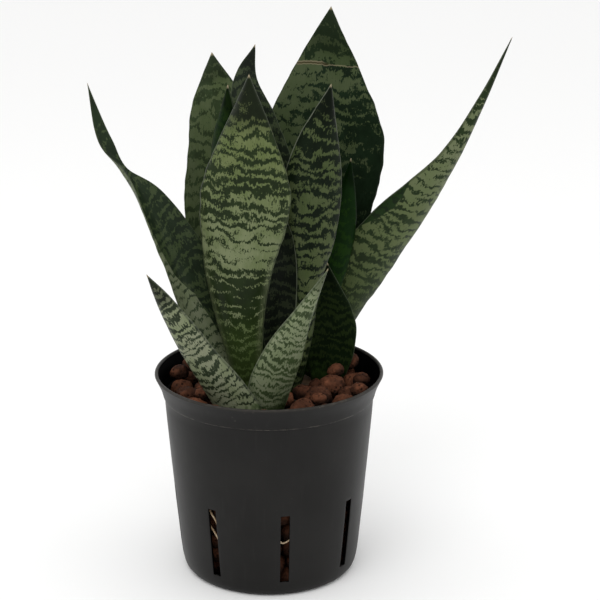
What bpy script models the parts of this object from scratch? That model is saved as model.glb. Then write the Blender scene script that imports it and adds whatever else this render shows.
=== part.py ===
"""A potted snake plant: a slotted grow pot, expanded clay pebbles, a rhizome, roots and twelve leaves.

Metres, +Z up. The origin is the centre of the pot's flat underside, and -Y is the front.
"""
import math
import random

import bmesh
import bpy
from mathutils import Matrix, Vector

MM = 0.001
GAP = 0.3 * MM                      # clearance between pieces that touch

# Grow pot
POT_HEIGHT = 118.5 * MM
RIM_RADIUS = 65.0 * MM
BASE_RADIUS = 46.5 * MM
WALL = 1.4 * MM
FLOOR = 1.8 * MM
POT_STEPS = 56
SLOT_COUNT = 8
SLOT_WIDTH = 5.0 * MM
SLOT_BOTTOM = 9.7 * MM
SLOT_TOP = 51.6 * MM
SLOT_REACH = 24.0 * MM              # how far the slot cutters go in and out through the wall
SLOT_PHASE = math.radians(10.0)     # first slot, turned from the front toward +X

# The pot's outside below the lip: (radius, height) in millimetres
POT_OUTSIDE = [(64.6, 117.2), (63.0, 114.0), (61.3, 110.0), (60.3, 105.2), (59.4, 104.2), (58.8, 93.0),
               (56.6, 67.0), (54.2, 40.0), (51.8, 17.0), (50.8, 8.0), (49.3, 2.5)]

# Clay pebbles
BED_TOP = 98.4 * MM
BED_WALL_GAP = 2.4 * MM             # the roots run down in this space
CROWN_TOP = 98.7 * MM
LEAF_FOOT = CROWN_TOP + GAP
PEBBLE_SEED = 7
PEBBLE_NESTING = 0.957              # lumpy pebbles nest this much closer than balls
PEBBLE_LUMPS = 0.09                 # deepest hollow, as a share of the radius
PEBBLE_SEGMENTS = 9
PEBBLE_RINGS = 6

# Crown swellings of the rhizome: centre x, y, z and half sizes, in millimetres
LEVELLER = 30.0 * MM                # height of the block that trims the crowns level
CROWNS = [(0, 13, 92, 22, 18, 14), (-8, -26, 92, 16, 11, 12), (18, 33, 92, 21, 17, 13),
          (-5, -7, 90, 9, 18, 8)]

ROOT_RADIUS = 0.8 * MM

# Leaves
LEAF_ALONG = 16
LEAF_AROUND = 12
FOOT_ROUNDING = 0.004               # share of a leaf's length in which its foot reaches its full width
NARROWEST = 0.6 * MM                # least half width, so that a tip stays solid
THINNING_WIDTH = 6.0 * MM           # a leaf is thinner where its half width is less than this

# Each leaf: its spine from foot to tip, its half width at the same points, then, at even steps from foot to
# tip, the way its outer face looks (degrees from the front toward +X) and how deeply it is channelled, and
# its thickness. Lengths in millimetres.
LEAVES = {
    "leaf_front_centre": dict(
        spine=[(-10, 0, 99), (-15.5, -9, 139), (-17.5, -17, 180), (-13, -22, 224), (-11, -23, 258),
               (-9.5, -21, 293)],
        widths=[7, 12, 19, 25, 15, 0], face=[-6, -10], channel=[0.45, 0.3, 0.2], thick=4.4),
    "leaf_centre_right": dict(
        spine=[(11, 4, 99), (19, 1, 134), (23, -2, 168), (26.5, -5, 197), (25.5, -8, 223), (28, -9, 252),
               (34.5, -7, 285)],
        widths=[6, 6, 7, 12.5, 17, 12.2, 0], face=[18, 14], channel=[0.5, 0.3, 0.2], thick=4.0),
    "leaf_back_right_tall": dict(
        spine=[(10, 46, 99), (25, 55, 154), (29.5, 60, 203), (32.5, 65, 240), (34, 69, 277), (35.5, 72, 314)],
        widths=[9, 18, 32, 35.5, 20.5, 0], face=[176, 162], channel=[0.3, 0.2, 0.15], thick=4.2),
    "leaf_right_leaning": dict(
        spine=[(25, 38, 99), (40, 40, 138), (52, 40, 162), (69.5, 36, 189), (86.5, 31, 212), (103, 24, 238),
               (118, 16, 270), (133, 7, 308)],
        widths=[7, 13, 17.5, 16.5, 12, 6.2, 2.8, 0], face=[10, 24, 24], channel=[0.35, 0.25, 0.2], thick=4.0),
    "leaf_far_left": dict(
        spine=[(-15, 9, 99), (-28, 7, 122), (-40, 2, 153), (-50.5, -3, 183), (-66, -8, 218), (-79, -12, 238),
               (-88.7, -14, 256), (-96.5, -14, 287)],
        widths=[7, 12, 15, 15.5, 10, 2.8, 3.8, 0], face=[212, 217, 222, 228, 236, 262, 205, 190],
        channel=[0.5], thick=3.6),
    "leaf_back_left": dict(
        spine=[(-13, 30, 99), (-27, 34, 149), (-32, 40, 202), (-30.5, 46, 236), (-31, 50, 264),
               (-32.5, 53, 291)],
        widths=[7, 15.5, 19.5, 19.5, 15.5, 0], face=[200, 206], channel=[0.35, 0.25], thick=4.0),
    "leaf_back_centre": dict(
        spine=[(-1, 22, 99), (2.5, 26, 158), (-1, 30, 210), (-8, 34, 250), (-13.2, 37, 277), (-7.5, 40, 298)],
        widths=[7, 15.5, 19, 14, 7.2, 0], face=[184, 188], channel=[0.4, 0.25], thick=4.0),
    "leaf_inner_left": dict(
        spine=[(-6, 12, 99), (-17, 10, 160), (-23, 8, 212), (-25.5, 8, 245), (-23, 9, 267), (-22, 10, 281)],
        widths=[6, 11, 13.5, 9, 4.7, 0], face=[-30, -36], channel=[0.4, 0.25], thick=3.6),
    "leaf_inner_right": dict(
        spine=[(12, 25, 99), (30, 28, 150), (40, 28.5, 187), (44, 29, 211), (46.5, 29.5, 235)],
        widths=[6, 9, 9.5, 6, 0], face=[12], channel=[0.3, 0.2], thick=3.4),
    "leaf_right_low": dict(
        spine=[(32.5, 20, 99), (35.5, 21, 126), (34.5, 22, 147), (33, 22, 176)],
        widths=[8, 14, 13.5, 0], face=[178, 170], channel=[0.14], thick=3.6),
    "leaf_pup_right": dict(
        spine=[(-2, -22, 99), (3, -26, 120), (10, -28, 139), (19, -31, 160), (33, -34, 189)],
        widths=[11, 12.5, 11, 6, 0], face=[10, 20], channel=[0.45, 0.3, 0.2], thick=3.8),
    "leaf_pup_left": dict(
        spine=[(-15, -30, 99), (-25, -31, 117), (-36, -33, 134), (-46.5, -36, 153), (-56.5, -39, 172),
               (-65, -42, 188)],
        widths=[13, 11.5, 9.6, 8, 4.8, 0], face=[-10, -20], channel=[0.4, 0.3, 0.2], thick=3.8),
}

# Pebbles of the top layer, in the order that they settle: x, y and radius in millimetres
PEBBLES = [
    (36, 3, 7.8), (28, -13, 7.4), (19, -32, 7.2), (44, 28, 6.6), (50, 12, 6.6), (46, -8, 6.4), (42, -24, 6.8),
    (33, -39, 6.6), (12, -46, 6.6), (-3, -46, 6.4), (-17, -47, 6.6), (-32, -42, 6.6), (-40, -29, 6.6),
    (-31, -15, 6.4), (-46, -13, 7.0), (-36, 0, 6.4), (-50, 3, 6.2), (-49, 18, 6.4), (-34, 13, 6.2),
    (-41, 31, 6.6), (-28, 25, 5.2), (-29, 41, 6.4), (-17, 44, 6.4), (-5, 40.5, 5.6), (-3, 53, 5.6),
    (26, 47.5, 4.2), (20, -2, 5.6), (9, -10, 5.0), (-17, -13, 5.6),
    (49, 25, 4.4), (53, 3, 4.6), (28, -27, 4.2), (-52, 10, 4.8), (-44, 9, 5.0), (-46, 25, 4.4),
    (-37, -21, 4.2), (51, -15, 4.4), (27, 13, 4.6), (38, 12.5, 4.2),
]


def mm(*values):
    """A vector given in millimetres."""
    return Vector(values) * MM


def make_collection(name):
    collection = bpy.data.collections.new(name)
    bpy.context.scene.collection.children.link(collection)
    return collection


def make_material(name, color, roughness):
    """A Principled material with one colour and roughness."""
    material = bpy.data.materials.new(name)
    material.use_nodes = True
    shader = material.node_tree.nodes["Principled BSDF"]
    shader.inputs["Base Color"].default_value = (*color, 1.0)
    shader.inputs["Roughness"].default_value = roughness
    shader.inputs["Metallic"].default_value = 0.0
    return material


def add_object(name, mesh, collection, material=None):
    item = bpy.data.objects.new(name, mesh)
    collection.objects.link(item)
    if material:
        mesh.materials.append(material)
    return item


def mesh_from(bm, name, smooth=True):
    """Turn a bmesh whose faces point out into a mesh."""
    mesh = bpy.data.meshes.new(name)
    bm.to_mesh(mesh)
    bm.free()
    if smooth:
        mesh.shade_smooth()
    return mesh


def make_cutter(name, mesh, collection):
    cutter = add_object(name, mesh, collection)
    cutter.hide_render = True
    cutter.display_type = "WIRE"
    return cutter


def add_boolean(item, cutter, operation="DIFFERENCE"):
    modifier = item.modifiers.new(cutter.name, "BOOLEAN")
    modifier.operation = operation
    modifier.object = cutter


def turned(name, profile, steps, collection, material):
    """A turned shape: the profile's points are (radius, height), its outer side running down."""
    bm = bmesh.new()
    points = [bm.verts.new((radius, 0, height)) for radius, height in profile]
    for start, end in zip(points, points[1:]):
        bm.edges.new((start, end))
    mesh = bpy.data.meshes.new(name)
    bm.to_mesh(mesh)
    bm.free()
    item = add_object(name, mesh, collection, material)
    screw = item.modifiers.new("turn", "SCREW")
    screw.angle = math.tau
    screw.steps = steps
    screw.render_steps = steps
    screw.use_merge_vertices = True
    screw.merge_threshold = 0.01 * MM
    return item


def wall_radius(height):
    """The outer radius of the pot wall at a height."""
    outside = [(radius * MM, level * MM) for radius, level in reversed(POT_OUTSIDE)]
    for (low_radius, low), (high_radius, high) in zip(outside, outside[1:]):
        if height <= high:
            share = max(0.0, (height - low) / (high - low))
            return low_radius + share * (high_radius - low_radius)
    return RIM_RADIUS


def build_pot(parts, cutters):
    """The turned pot, with its flared lip and eight tall slots."""
    material = make_material("black_plastic", (0.022, 0.021, 0.020), 0.42)
    outside = [(radius * MM, level * MM) for radius, level in POT_OUTSIDE]
    inside = [(radius - WALL, max(level, FLOOR)) for radius, level in reversed(outside[:-1])]
    heel = [(BASE_RADIUS, 0), (0, 0)]
    lip = [(RIM_RADIUS - 0.5 * MM, POT_HEIGHT), (RIM_RADIUS, POT_HEIGHT - 0.5 * MM)]
    floor = [(0, FLOOR), (BASE_RADIUS - WALL, FLOOR)]
    pot = turned("grow_pot", floor + inside + lip + outside + heel, POT_STEPS, parts, material)

    bm = bmesh.new()
    for index in range(SLOT_COUNT):
        angle = SLOT_PHASE + index * math.tau / SLOT_COUNT
        bmesh.ops.create_cube(bm, size=1.0, matrix=(
            Matrix.Rotation(angle, 4, "Z")
            @ Matrix.Translation((0, -wall_radius(SLOT_TOP), (SLOT_BOTTOM + SLOT_TOP) / 2))
            @ Matrix.Diagonal((SLOT_WIDTH, SLOT_REACH, SLOT_TOP - SLOT_BOTTOM, 1))))
    slots = make_cutter("slot_cutter", mesh_from(bm, "slot_cutter", smooth=False), cutters)
    add_boolean(pot, slots)


def ellipsoid(name, centre, half_sizes, segments=14, rings=9):
    bm = bmesh.new()
    bmesh.ops.create_uvsphere(bm, u_segments=segments, v_segments=rings, radius=1.0,
                              matrix=Matrix.Translation(centre) @ Matrix.Diagonal((*half_sizes, 1)))
    return mesh_from(bm, name)


def crown_meshes(name, margin=0.0):
    """One ellipsoid for each swelling of the rhizome, grown by a margin."""
    grow = Vector((margin, margin, margin))
    for index, (x, y, z, *half_sizes) in enumerate(CROWNS):
        yield ellipsoid(f"{name}_{index}", mm(x, y, z), mm(*half_sizes) + grow)


def build_rhizome(parts, cutters):
    """The fleshy rhizome under the leaves, level on top where the leaves stand."""
    material = make_material("rhizome_flesh", (0.55, 0.42, 0.22), 0.6)
    first, *others = crown_meshes("rhizome")
    rhizome = add_object("rhizome", first, parts, material)
    for mesh in others:
        add_boolean(rhizome, make_cutter(mesh.name, mesh, cutters), "UNION")
    bm = bmesh.new()
    bmesh.ops.create_cube(bm, size=1.0, matrix=(
        Matrix.Translation((0, 0, CROWN_TOP + LEVELLER / 2))
        @ Matrix.Diagonal((2 * RIM_RADIUS, 2 * RIM_RADIUS, LEVELLER, 1))))
    add_boolean(rhizome, make_cutter("crown_level", mesh_from(bm, "crown_level", smooth=False), cutters))


def wall_point(angle_degrees, height_mm, inset_mm=0.0):
    """A point in the space between the pebbles and the pot wall, by angle from the front and by height."""
    angle = math.radians(angle_degrees)
    radius = wall_radius(height_mm * MM) - WALL - BED_WALL_GAP / 2 - inset_mm * MM
    return Vector((radius * math.sin(angle), -radius * math.cos(angle), height_mm * MM))


def root_routes():
    """The roots that show in the front slots: out from the rhizome, then down along the wall."""
    return {
        "root_left_upper": [mm(-21, -33, 88), mm(-27, -37, 84), wall_point(-41, 74, 1.5), wall_point(-42, 62),
                            wall_point(-40, 52), wall_point(-35, 44), wall_point(-30, 36)],
        "root_left_lower": [mm(-24.5, -27.5, 88), mm(-31, -31, 84), wall_point(-50, 72, 1.5),
                            wall_point(-51, 58), wall_point(-46, 47), wall_point(-38, 38),
                            wall_point(-31, 28)],
        "root_front": [mm(-4, -37, 86), mm(0, -43, 82), wall_point(4, 70, 1.5), wall_point(3, 56),
                       wall_point(3, 44), wall_point(8, 34), wall_point(15, 36)],
    }


def tube_object(name, points, radius, collection):
    """A round tube along a smooth curve through the points."""
    route = smooth_points(points, 4)
    curve = bpy.data.curves.new(name, "CURVE")
    curve.dimensions = "3D"
    curve.bevel_depth = radius
    curve.bevel_resolution = 1
    curve.use_fill_caps = True
    spline = curve.splines.new("POLY")
    spline.points.add(len(route) - 1)
    for control, point in zip(spline.points, route):
        control.co = (*point, 1.0)
    item = bpy.data.objects.new(name, curve)
    collection.objects.link(item)
    return item


def tube_mesh(name, points, radius, collection):
    """The mesh of a tube, with its caps welded on."""
    item = tube_object(name, points, radius, collection)
    bpy.context.view_layer.update()
    mesh = bpy.data.meshes.new_from_object(item.evaluated_get(bpy.context.evaluated_depsgraph_get()))
    bpy.data.objects.remove(item)
    bm = bmesh.new()
    bm.from_mesh(mesh)
    bmesh.ops.remove_doubles(bm, verts=bm.verts, dist=0.01 * MM)
    bmesh.ops.recalc_face_normals(bm, faces=bm.faces)
    return mesh_from(bm, name)


def build_bed(parts, cutters):
    """The packed pebbles below the top layer, with room for the rhizome and the roots."""
    material = make_material("clay_bed", (0.16, 0.065, 0.04), 0.95)
    levels = [BED_TOP, 67 * MM, 40 * MM, 17 * MM, 8 * MM]
    side = [(wall_radius(level) - WALL - BED_WALL_GAP, level) for level in levels]
    foot = FLOOR + GAP
    profile = [(0, BED_TOP)] + side + [(BASE_RADIUS - WALL - BED_WALL_GAP, foot), (0, foot)]
    bed = turned("clay_pebble_bed", profile, POT_STEPS // 2, parts, material)
    for mesh in crown_meshes("crown_room", GAP):
        add_boolean(bed, make_cutter(mesh.name, mesh, cutters))
    for name, points in root_routes().items():
        room = tube_mesh(f"{name}_room", points, ROOT_RADIUS + 2 * GAP, parts)
        add_boolean(bed, make_cutter(room.name, room, cutters))


def build_roots(parts):
    material = make_material("root_fibre", (0.62, 0.52, 0.36), 0.7)
    for name, points in root_routes().items():
        mesh = tube_mesh(name, points, ROOT_RADIUS, parts)
        add_object(name, mesh, parts, material)


def catmull_rom(values, share):
    """A smooth value at a share from 0 to 1 along evenly spaced values."""
    if len(values) == 1:
        return values[0]
    spans = len(values) - 1
    place = min(share * spans, spans - 1e-6)
    index = int(place)
    u = place - index
    p1, p2 = values[index], values[index + 1]
    p0 = values[index - 1] if index > 0 else p1 * 2 - p2
    p3 = values[index + 2] if index + 2 <= spans else p2 * 2 - p1
    return (p1 * 2 + (p2 - p0) * u + (p0 * 2 - p1 * 5 + p2 * 4 - p3) * u ** 2
            + (p1 * 3 - p0 - p2 * 3 + p3) * u ** 3) * 0.5


def smooth_points(points, steps):
    count = (len(points) - 1) * steps
    return [catmull_rom(points, index / count) for index in range(count + 1)]


def leaf_frame(leaf, share):
    """The spine's point, its side vector and its outward vector at a share of the leaf's length."""
    spine = [mm(*point) for point in leaf["spine"]]
    point = catmull_rom(spine, share)
    ahead = catmull_rom(spine, min(1.0, share + 0.01)) - catmull_rom(spine, max(0.0, share - 0.01))
    along = ahead.normalized()
    face = math.radians(catmull_rom(leaf["face"], share))
    outward = Vector((math.sin(face), -math.cos(face), 0))
    side = along.cross(outward).normalized()
    return point, side, side.cross(along)


def leaf_mesh(name, leaf):
    """A channelled blade, lens-shaped across, made from a sphere whose poles are its foot and its tip."""
    bm = bmesh.new()
    bmesh.ops.create_uvsphere(bm, u_segments=LEAF_AROUND, v_segments=LEAF_ALONG, radius=1.0)
    for vert in bm.verts:
        ring = round(math.acos(max(-1.0, min(1.0, -vert.co.z))) / math.pi * LEAF_ALONG)
        share = ring / LEAF_ALONG
        if ring == 1:
            share = FOOT_ROUNDING
        point, side, outward = leaf_frame(leaf, share)
        if ring in (0, LEAF_ALONG):
            vert.co = point
            continue
        width = max(NARROWEST, catmull_rom(leaf["widths"], share) * MM)
        channel = catmull_rom(leaf["channel"], share)
        turn = math.atan2(vert.co.y, vert.co.x)
        across = -math.cos(turn)
        half_thick = leaf["thick"] * MM / 2 * min(1.0, width / THINNING_WIDTH) ** 0.5
        vert.co = (point + side * width * across - outward * width * channel * across ** 2
                   + outward * half_thick * math.sin(turn))
    for vert in bm.verts:
        vert.co.z = max(vert.co.z, LEAF_FOOT)
    return mesh_from(bm, name)


def build_leaves(parts):
    outer = make_material("leaf_green", (0.12, 0.19, 0.09), 0.42)
    for name, leaf in LEAVES.items():
        add_object(name, leaf_mesh(name, leaf), parts, outer)


def pebble_mesh(name, radius, chance):
    """A lumpy pebble that stays inside a ball of its mean radius and touches its lowest and highest points."""
    bm = bmesh.new()
    bmesh.ops.create_uvsphere(bm, u_segments=PEBBLE_SEGMENTS, v_segments=PEBBLE_RINGS, radius=radius)
    waves = [(Vector([chance.gauss(0, 1) for _ in range(3)]).normalized(), chance.uniform(1.5, 3.0),
              chance.uniform(0, math.tau)) for _ in range(4)]
    for vert in bm.verts:
        direction = vert.co.normalized()
        lump = sum(math.sin(direction.dot(axis) * rate * 2 + phase) for axis, rate, phase in waves) / 4
        pole = abs(direction.z)
        vert.co *= 1.0 - PEBBLE_LUMPS * (1 + lump) / 2 * (1 - pole)
    return mesh_from(bm, name)


def build_pebbles(parts):
    """The top layer: each pebble settles on the bed or on the pebbles already there."""
    material = make_material("fired_clay", (0.17, 0.07, 0.045), 0.95)
    chance = random.Random(PEBBLE_SEED)
    placed = []
    for index, (x, y, size) in enumerate(PEBBLES, start=1):
        radius = size * MM
        spot = mm(x, y, 0)
        room = wall_radius(BED_TOP) - WALL - GAP - radius
        spot *= min(1.0, room / spot.length)
        height = BED_TOP + GAP + radius
        for other, other_radius in placed:
            reach = (radius + other_radius) * PEBBLE_NESTING + GAP
            apart = (spot - Vector((other.x, other.y, 0))).length
            if apart < reach:
                height = max(height, other.z + math.sqrt(reach ** 2 - apart ** 2))
        spot.z = height
        placed.append((spot, radius))
        name = f"clay_pebble_{index:02d}"
        pebble = add_object(name, pebble_mesh(name, radius, chance), parts, material)
        pebble.location = spot


def main():
    for item in list(bpy.data.objects):
        bpy.data.objects.remove(item)
    parts = make_collection("potted_snake_plant")
    cutters = make_collection("cutters")
    build_pot(parts, cutters)
    build_rhizome(parts, cutters)
    build_bed(parts, cutters)
    build_roots(parts)
    build_leaves(parts)
    build_pebbles(parts)


main()
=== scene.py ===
"""Potted snake plant: a slotted grow pot, fired clay pebbles, a rhizome, roots and twelve banded leaves.

Laid out as an add-on and run as a script. Metres, +Z up, -Y is the front.
"""
import math
import random

import bmesh
import bpy
from bpy.props import FloatProperty, FloatVectorProperty, IntProperty, PointerProperty
from mathutils import Matrix, Vector, noise


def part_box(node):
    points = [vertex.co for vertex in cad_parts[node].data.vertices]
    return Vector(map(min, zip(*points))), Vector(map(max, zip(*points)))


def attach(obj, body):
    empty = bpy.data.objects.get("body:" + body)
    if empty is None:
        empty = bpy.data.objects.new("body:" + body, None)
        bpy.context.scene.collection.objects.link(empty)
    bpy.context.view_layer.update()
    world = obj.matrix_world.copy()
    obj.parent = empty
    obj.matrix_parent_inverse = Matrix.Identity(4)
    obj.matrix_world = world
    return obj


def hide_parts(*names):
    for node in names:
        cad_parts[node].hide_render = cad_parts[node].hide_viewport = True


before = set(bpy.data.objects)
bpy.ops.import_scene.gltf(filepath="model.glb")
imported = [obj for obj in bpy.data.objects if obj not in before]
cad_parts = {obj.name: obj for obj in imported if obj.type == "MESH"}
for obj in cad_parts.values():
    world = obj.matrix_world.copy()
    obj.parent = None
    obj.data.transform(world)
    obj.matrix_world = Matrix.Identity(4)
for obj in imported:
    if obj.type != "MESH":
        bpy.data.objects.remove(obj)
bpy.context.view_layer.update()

bl_info = {
    "name": "Potted snake plant",
    "version": (1, 0, 0),
    "blender": (4, 5, 0),
    "location": "3D View > Sidebar > Snake plant",
    "description": "Builds a snake plant in a slotted grow pot, with its finishes and a plain studio",
    "category": "Object",
}

MM = 0.001
BODY = "root"

# Grow pot, as in the frame
POT_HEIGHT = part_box("grow_pot")[1][2]
RIM_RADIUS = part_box("grow_pot")[1][0]
WALL = 1.4 * MM
SLOT_COUNT = 8
SLOT_BOTTOM = 9.7 * MM
SLOT_TOP = 51.6 * MM
SLOT_PHASE = math.radians(10.0)     # first slot, turned from the front toward +X
POT_STEPS = 256                     # columns round the pot; a slot is four of them wide
SLOT_COLUMNS = 2                    # columns from a slot's middle to its side
SLOT_REACH = 45.0 * MM              # how far out, at least, the wall round a slot lies
FLOOR = 1.8                         # thickness of the floor, in millimetres

# The outside of the wall below the lip: (radius, height) in millimetres
POT_WALL = [(64.75, 116.9), (64.2, 115.7), (63.1, 113.4), (62.1, 111.2), (61.35, 109.0), (60.8, 106.9),
            (60.45, 105.6), (60.3, 105.1), (59.65, 104.75), (59.45, 104.2), (59.3, 100.0), (58.8, 93.0),
            (57.7, 80.0), (56.6, 67.0), (55.4, 54.0), (55.2, 51.6), (54.2, 40.0), (53.0, 28.0), (52.0, 17.5),
            (51.1, 9.7), (50.6, 7.0), (50.0, 4.4), (49.2, 2.4), (47.9, 0.9), (46.4, 0.1)]
LIP_CENTRE = (64.0, 117.5)
LIP_ROUNDING = 1.0
LIP_INSIDE = 117.2 * MM             # below this the inward faces of the wall take a darkened copy of the plastic, painted shade

BED_TOP = 98.4 * MM
BED_WALL_GAP = 2.4 * MM
CROWN_TOP = 98.7 * MM

# Swellings of the rhizome: centre x, y, z and half sizes, in millimetres
CROWNS = [(0, 13, 92, 22, 18, 14), (-8, -26, 92, 16, 11, 12), (18, 33, 92, 21, 17, 13),
          (-5, -7, 90, 9, 18, 8)]

LEAF_ALONG = 150
LEAF_AROUND = 44
FOOT_ROUNDING = 0.004
THINNING_WIDTH = 6.0

# Each leaf: its spine from foot to tip, its half width at the same points, then, at even steps from foot to
# tip, the way its outer face looks (degrees from the front toward +X) and how deeply it is channelled, and
# its thickness. kink is how far along a leaf bends toward its inner face and by how many degrees. Lengths in
# millimetres.
LEAVES = {
    "leaf_front_centre": dict(
        spine=[(-10, 0, 99), (-15.5, -9, 139), (-17.5, -17, 180), (-13, -22, 224), (-11, -23, 258),
               (-9.5, -21, 293)],
        widths=[7, 12, 19, 25, 15, 0], face=[-6, -10], channel=[0.45, 0.3, 0.2], thick=4.4),
    "leaf_centre_right": dict(
        spine=[(11, 4, 99), (19, 1, 134), (23, -2, 168), (26.5, -5, 197), (25.5, -8, 223), (28, -9, 252),
               (34.5, -7, 285)],
        widths=[6, 6, 7, 12.5, 17, 12.2, 0], face=[18, 14], channel=[0.5, 0.3, 0.2], thick=4.0),
    "leaf_back_right_tall": dict(
        spine=[(10, 46, 99), (25, 55, 154), (29.5, 60, 203), (32.5, 65, 240), (34, 69, 277), (35.5, 72, 314)],
        widths=[9, 18, 32, 35.5, 20.5, 0], face=[176, 162], channel=[0.3, 0.2, 0.15], thick=4.2,
        kink=(186.0, 3.0)),
    "leaf_right_leaning": dict(
        spine=[(25, 38, 99), (40, 40, 138), (52, 40, 162), (69.5, 36, 189), (86.5, 31, 212), (103, 24, 238),
               (118, 16, 270), (133, 7, 308)],
        widths=[7, 13, 17.5, 16.5, 12, 6.2, 2.8, 0], face=[10, 24, 24], channel=[0.35, 0.25, 0.2], thick=4.0),
    "leaf_far_left": dict(
        spine=[(-15, 9, 99), (-28, 7, 122), (-40, 2, 153), (-50.5, -3, 183), (-66, -8, 218), (-79, -12, 238),
               (-88.7, -14, 256), (-96.5, -14, 287)],
        widths=[7, 12, 15, 15.5, 10, 2.8, 3.8, 0], face=[212, 217, 222, 228, 236, 262, 205, 190],
        channel=[0.5], thick=3.6),
    "leaf_back_left": dict(
        spine=[(-13, 30, 99), (-27, 34, 149), (-32, 40, 202), (-30.5, 46, 236), (-31, 50, 264),
               (-32.5, 53, 291)],
        widths=[7, 15.5, 19.5, 19.5, 15.5, 0], face=[200, 206], channel=[0.35, 0.25], thick=4.0),
    "leaf_back_centre": dict(
        spine=[(-1, 22, 99), (2.5, 26, 158), (-1, 30, 210), (-8, 34, 250), (-13.2, 37, 277), (-7.5, 40, 298)],
        widths=[7, 15.5, 19, 14, 7.2, 0], face=[184, 188], channel=[0.4, 0.25], thick=4.0),
    "leaf_inner_left": dict(
        spine=[(-6, 12, 99), (-17, 10, 160), (-23, 8, 212), (-25.5, 8, 245), (-23, 9, 267), (-22, 10, 281)],
        widths=[6, 11, 13.5, 9, 4.7, 0], face=[-30, -36], channel=[0.4, 0.25], thick=3.6),
    "leaf_inner_right": dict(
        spine=[(12, 25, 99), (30, 28, 150), (40, 28.5, 187), (44, 29, 211), (46.5, 29.5, 235)],
        widths=[6, 9, 9.5, 6, 0], face=[12], channel=[0.3, 0.2], thick=3.4),
    "leaf_right_low": dict(
        spine=[(32.5, 20, 99), (35.5, 21, 126), (34.5, 22, 147), (33, 22, 176)],
        widths=[8, 14, 13.5, 0], face=[178, 170], channel=[0.14], thick=3.6),
    "leaf_pup_right": dict(
        spine=[(-2, -22, 99), (3, -26, 120), (10, -28, 139), (19, -31, 160), (33, -34, 189)],
        widths=[11, 12.5, 11, 6, 0], face=[10, 20], channel=[0.45, 0.3, 0.2], thick=3.8),
    "leaf_pup_left": dict(
        spine=[(-15, -30, 99), (-25, -31, 117), (-36, -33, 134), (-46.5, -36, 153), (-56.5, -39, 172),
               (-65, -42, 188)],
        widths=[13, 11.5, 9.6, 8, 4.8, 0], face=[-10, -20], channel=[0.4, 0.3, 0.2], thick=3.8),
}
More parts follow.
